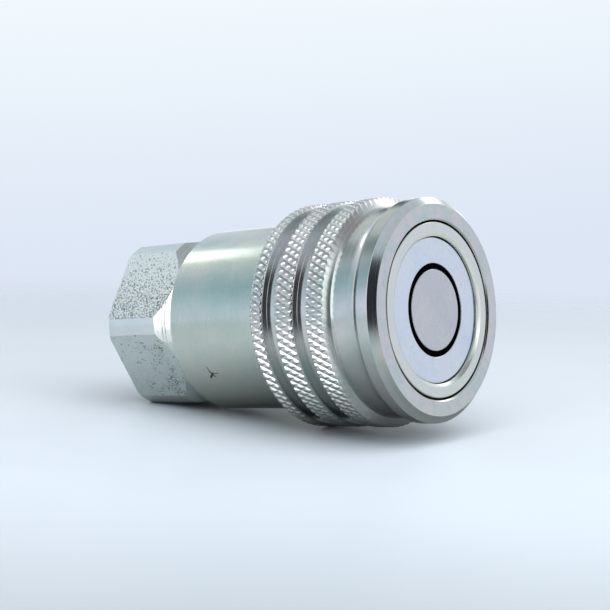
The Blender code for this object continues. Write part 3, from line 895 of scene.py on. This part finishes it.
def make_inner_pieces():
    """Spring, washer and snap ring of the sleeve, the valve spring, seals of the adapter, balls."""
    washer_front, washer_rear, washer_r = span("sleeve_thrust_washer")
    ring = [(washer_front, WASHER_BORE_R, 0.1), (washer_front, washer_r, 0.1),
            (washer_rear, washer_r, 0.1), (washer_rear, WASHER_BORE_R, 0.1)]
    finish(lathe("thrust_washer", rounded(ring)), "sleeve_slider", "plain_steel", "sleeve_thrust_washer")

    front, rear, _ = span("sleeve_spring")
    spring = coil("sleeve_coil", front, rear, mean_r=16.15, wire_d=1.1, turns=3.75)
    finish(spring, "housing", "spring_steel", "sleeve_spring")
    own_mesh(spring)

    front, rear, _ = span("valve_spring")
    spring = coil("valve_coil", front, rear, mean_r=12.3, wire_d=1.6, turns=3.2)
    finish(spring, "housing", "spring_steel", "valve_spring")
    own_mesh(spring)

    front, rear, _ = span("sleeve_snap_ring")
    inner, outer = SNAP_RING_R
    corners = rounded([(front, inner, 0.12), (front, outer, 0.12), (rear, outer, 0.12),
                       (rear, inner, 0.12)])
    verts, faces = [], []
    steps = SNAP_RING_STEPS
    for k in range(steps + 1):
        a = SNAP_RING_ARC * k / steps
        for x, radius in corners:
            verts.append((x * MM, radius * math.cos(a) * MM, radius * math.sin(a) * MM))
    n = len(corners)
    for k in range(steps):
        for side in range(n):
            after = (side + 1) % n
            faces.append([k * n + side, k * n + after, (k + 1) * n + after, (k + 1) * n + side])
    faces.append(list(range(n)))
    faces.append(list(range(steps * n, (steps + 1) * n)))
    finish(mesh_object("snap_ring", verts, faces), "housing", "spring_steel", "sleeve_snap_ring")

    finish(torus("adapter_seal", -40.7, 12.8, 0.85), "housing", "seal_rubber", "adapter_o_ring")
    ring = [(-41.55, 11.95, 0.06), (-41.55, 13.9, 0.06), (-42.05, 13.9, 0.06), (-42.05, 11.95, 0.06)]
    finish(lathe("adapter_backup", rounded(ring)), "housing", "white_ptfe", "adapter_backup_ring")

    for k in range(BALL_COUNT):
        node = f"locking_ball_{k + 1:02d}"
        low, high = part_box(node)
        centre = (Vector(low) + Vector(high)) / 2
        builder = bmesh.new()
        bmesh.ops.create_cube(builder, size=1.0)
        bmesh.ops.subdivide_edges(builder, edges=builder.edges, cuts=11, use_grid_fill=True)
        for vertex in builder.verts:
            vertex.co = vertex.co.normalized() * (BALL_R * MM) + centre
        mesh = bpy.data.meshes.new(f"ball_piece_{k + 1:02d}")
        builder.to_mesh(mesh)
        builder.free()
        ball = bpy.data.objects.new(mesh.name, mesh)
        bpy.context.scene.collection.objects.link(ball)
        mesh.shade_smooth()
        finish(ball, f"ball_{k + 1:02d}", "ball_steel", node)


# ---------------------------------------------------------------- studio

def make_floor(normal, through):
    """A pale matt table that the coupler lies on, fading into the backdrop far away."""
    verts, faces = [(0, 0, 0)], []
    count = FLOOR_SEGMENTS
    for radius in FLOOR_RADII:
        for k in range(count):
            a = 2 * math.pi * k / count
            verts.append((radius * math.cos(a), radius * math.sin(a), 0))
    for k in range(count):
        faces.append([0, 1 + k, 1 + (k + 1) % count])
    for ring in range(len(FLOOR_RADII) - 1):
        low, high = 1 + ring * count, 1 + (ring + 1) * count
        for k in range(count):
            after = (k + 1) % count
            faces.append([low + k, high + k, high + after, low + after])
    floor = mesh_object("floor", verts, faces)
    tilt = normal.to_track_quat("Z", "X").to_matrix().to_4x4()
    floor.matrix_world = Matrix.Translation(through) @ tilt
    material, s, shader = blank_material("table")
    place = s.add("ShaderNodeTexCoord").outputs["Object"]
    grain = s.noise(place, 40, 3.0, 0.5)
    colour = s.blend(s.ramp(grain, 0.3, 0.7), (0.42, 0.45, 0.49, 1), (0.43, 0.46, 0.50, 1))

    # what the metal mirrors of the table: a warmer painted reflection tint, and a painted contact shadow
    # that darkens it close to the coupler
    spot = s.add("ShaderNodeNewGeometry").outputs["Position"]
    from_part = s.add("ShaderNodeVectorMath", {0: spot, 1: FLOOR_SHADE_CENTRE}, operation="DISTANCE")
    painted_contact_shadow = s.ramp(from_part.outputs["Value"], 0.01, 0.075, 0.80, 0.19)
    mirrored = s.add("ShaderNodeLightPath").outputs["Is Glossy Ray"]
    colour = s.blend(mirrored, colour, s.blend(1.0, colour, (1.05, 1.01, 0.93, 1), "MULTIPLY"))
    colour = s.blend(s.math("MULTIPLY", mirrored, painted_contact_shadow), colour, (0.05, 0.06, 0.065, 1))

    # painted shade: the table is painted darker towards its near edge, where the light falls off
    away = (CAMERA_FORWARD[0], CAMERA_FORWARD[1], 0.0)
    ahead = s.add("ShaderNodeVectorMath", {0: spot, 1: away}, operation="DOT_PRODUCT")
    painted_front_shade = s.ramp(ahead.outputs["Value"], -0.13, -0.03, 0.55, 0.0)
    colour = s.blend(painted_front_shade, colour, (0.10, 0.11, 0.12, 1))
    s.link(colour, shader, "Base Color")
    shader.inputs["Roughness"].default_value = 0.45
    shader.inputs["Specular IOR Level"].default_value = 0.28
    far = s.add("ShaderNodeVectorMath", {0: place}, operation="LENGTH").outputs["Value"]
    clear = s.add("ShaderNodeBsdfTransparent").outputs[0]
    mixed = s.add("ShaderNodeMixShader", {0: s.ramp(far, 0.12, 0.38), 1: shader.outputs[0], 2: clear})
    s.link(mixed.outputs[0], material.node_tree.nodes["Material Output"], "Surface")
    floor.data.materials.append(material)


def make_world():
    """Studio light as a function of direction: pale all round, with soft boxes and dark cards."""
    world = bpy.data.worlds.new("studio")
    bpy.context.scene.world = world
    world.use_nodes = True
    s = Shader(world.node_tree)
    way = s.add("ShaderNodeTexCoord").outputs["Generated"]
    x, y, z = s.add("ShaderNodeSeparateXYZ", {0: way}).outputs
    heading = s.math("MULTIPLY", s.math("ARCTAN2", y, x), 180 / math.pi)
    height = s.math("MULTIPLY", s.math("ARCSINE", z), 180 / math.pi)

    def window(value, low, high, soft):
        rise = s.ramp(value, low - soft, low + soft)
        fall = s.ramp(value, high - soft, high + soft, 1.0, 0.0)
        return s.math("MULTIPLY", rise, fall)

    def patched(colour, patches):
        for headings, heights, (soft_heading, soft_height), tint in patches:
            inside = s.math("MULTIPLY", window(heading, *headings, soft_heading),
                            window(height, *heights, soft_height))
            colour = s.blend(inside, colour, (*tint, 1))
        return colour

    # the backdrop by height, then the greyer air above it and the zenith
    backdrop = s.blend(s.ramp(height, -30, 3), (0.70, 0.77, 0.87, 1), (0.725, 0.79, 0.915, 1))
    backdrop = s.blend(s.ramp(height, 0, 16), backdrop, (0.90, 0.965, 1.0, 1))
    colour = s.blend(s.ramp(height, 14, 34), backdrop, (0.62, 0.70, 0.76, 1))
    colour = s.blend(s.ramp(height, 58, 74), colour, (0.50, 0.47, 0.46, 1))
    colour = patched(colour, PALE_BEYOND_HEXAGON)

    # what the round barrel and sleeve mirror: one belt of directions round the X axis for each
    belt_angle = s.math("MULTIPLY", s.math("ARCTAN2", z, s.math("MULTIPLY", y, -1)), 180 / math.pi)
    belt_place = s.ramp(belt_angle, -180, 180, smooth=False)

    def belt(stops):
        ramp = s.add("ShaderNodeValToRGB", {0: belt_place})
        ramp.color_ramp.elements.remove(ramp.color_ramp.elements[0])
        for k, (angle, tint) in enumerate(stops):
            place = (angle + 180) / 360
            element = ramp.color_ramp.elements[0] if k == 0 else ramp.color_ramp.elements.new(place)
            element.position = place
            element.color = (*tint, 1)
        return ramp.outputs[0]

    wider = s.ramp(x, -0.665, -0.615)
    belts = s.blend(wider, belt(BARREL_BELT), belt(SLEEVE_BELT))
    on_belt = s.math("MULTIPLY", s.ramp(x, -0.90, -0.84), s.ramp(x, -0.44, -0.37, 1.0, 0.0))
    away = s.ramp(s.math("ABSOLUTE", belt_angle), 158, 170, 1.0, 0.0)
    colour = s.blend(s.math("MULTIPLY", on_belt, away), colour, belts)

    colour = patched(colour, STUDIO_PATCHES)

    # the camera itself sees only the plain backdrop, from every side
    seen = s.add("ShaderNodeLightPath").outputs["Is Camera Ray"]
    colour = s.blend(seen, colour, backdrop)
    background = world.node_tree.nodes["Background"]
    s.link(colour, background, "Color")
    background.inputs["Strength"].default_value = 1.0


def make_lamp():
    """A large soft lamp, high and ahead of the mating face, that lights the table.

    The metal doesn't mirror it: its highlights come from the soft boxes.
    """
    data = bpy.data.lights.new("lamp", "AREA")
    data.shape = "DISK"
    data.size = 0.9
    data.energy = 8.5
    data.color = (0.93, 0.97, 1.0)
    lamp = bpy.data.objects.new("lamp", data)
    bpy.context.scene.collection.objects.link(lamp)
    lamp.location = LAMP_PLACE
    lamp.rotation_euler = (-lamp.location).to_track_quat("-Z", "Y").to_euler()
    lamp.visible_glossy = False
    lamp.visible_camera = False


def make_camera():
    """The photograph's viewpoint: 50 degrees off the coupler's axis and nearly level with it."""
    camera = bpy.data.objects.new("camera", bpy.data.cameras.new("camera"))
    bpy.context.scene.collection.objects.link(camera)
    place = Vector(CAMERA_PLACE) * MM
    right = Vector(CAMERA_RIGHT).normalized()
    forward = Vector(CAMERA_FORWARD).normalized()
    up = right.cross(forward).normalized()
    right = forward.cross(up).normalized()
    turn = Matrix((right, up, -forward)).transposed()
    camera.matrix_world = Matrix.Translation(place) @ turn.to_4x4()
    camera.data.sensor_width = 36
    camera.data.lens = CAMERA_LENS
    camera.data.clip_start = 0.01
    camera.data.clip_end = 20
    bpy.context.scene.camera = camera


make_camera()
make_sleeve()
make_body()
make_adapter()
make_nose()
make_stem()
make_inner_pieces()

# the coupler rests on the rear edge of the hexagon and on the last knurled band
_, hex_rear, hex_flat = span("rear_adapter")
_, _, crest = span("locking_sleeve")
rest_rear = Vector((hex_rear, 0, -hex_flat)) * MM
rest_front = Vector((BANDS[-1][1] + 0.1, 0, -crest)) * MM
along = (rest_front - rest_rear).normalized()
make_floor(Vector((0, -1, 0)).cross(along), rest_front)
make_world()
make_lamp()
bpy.context.scene.view_settings.view_transform = "Standard"
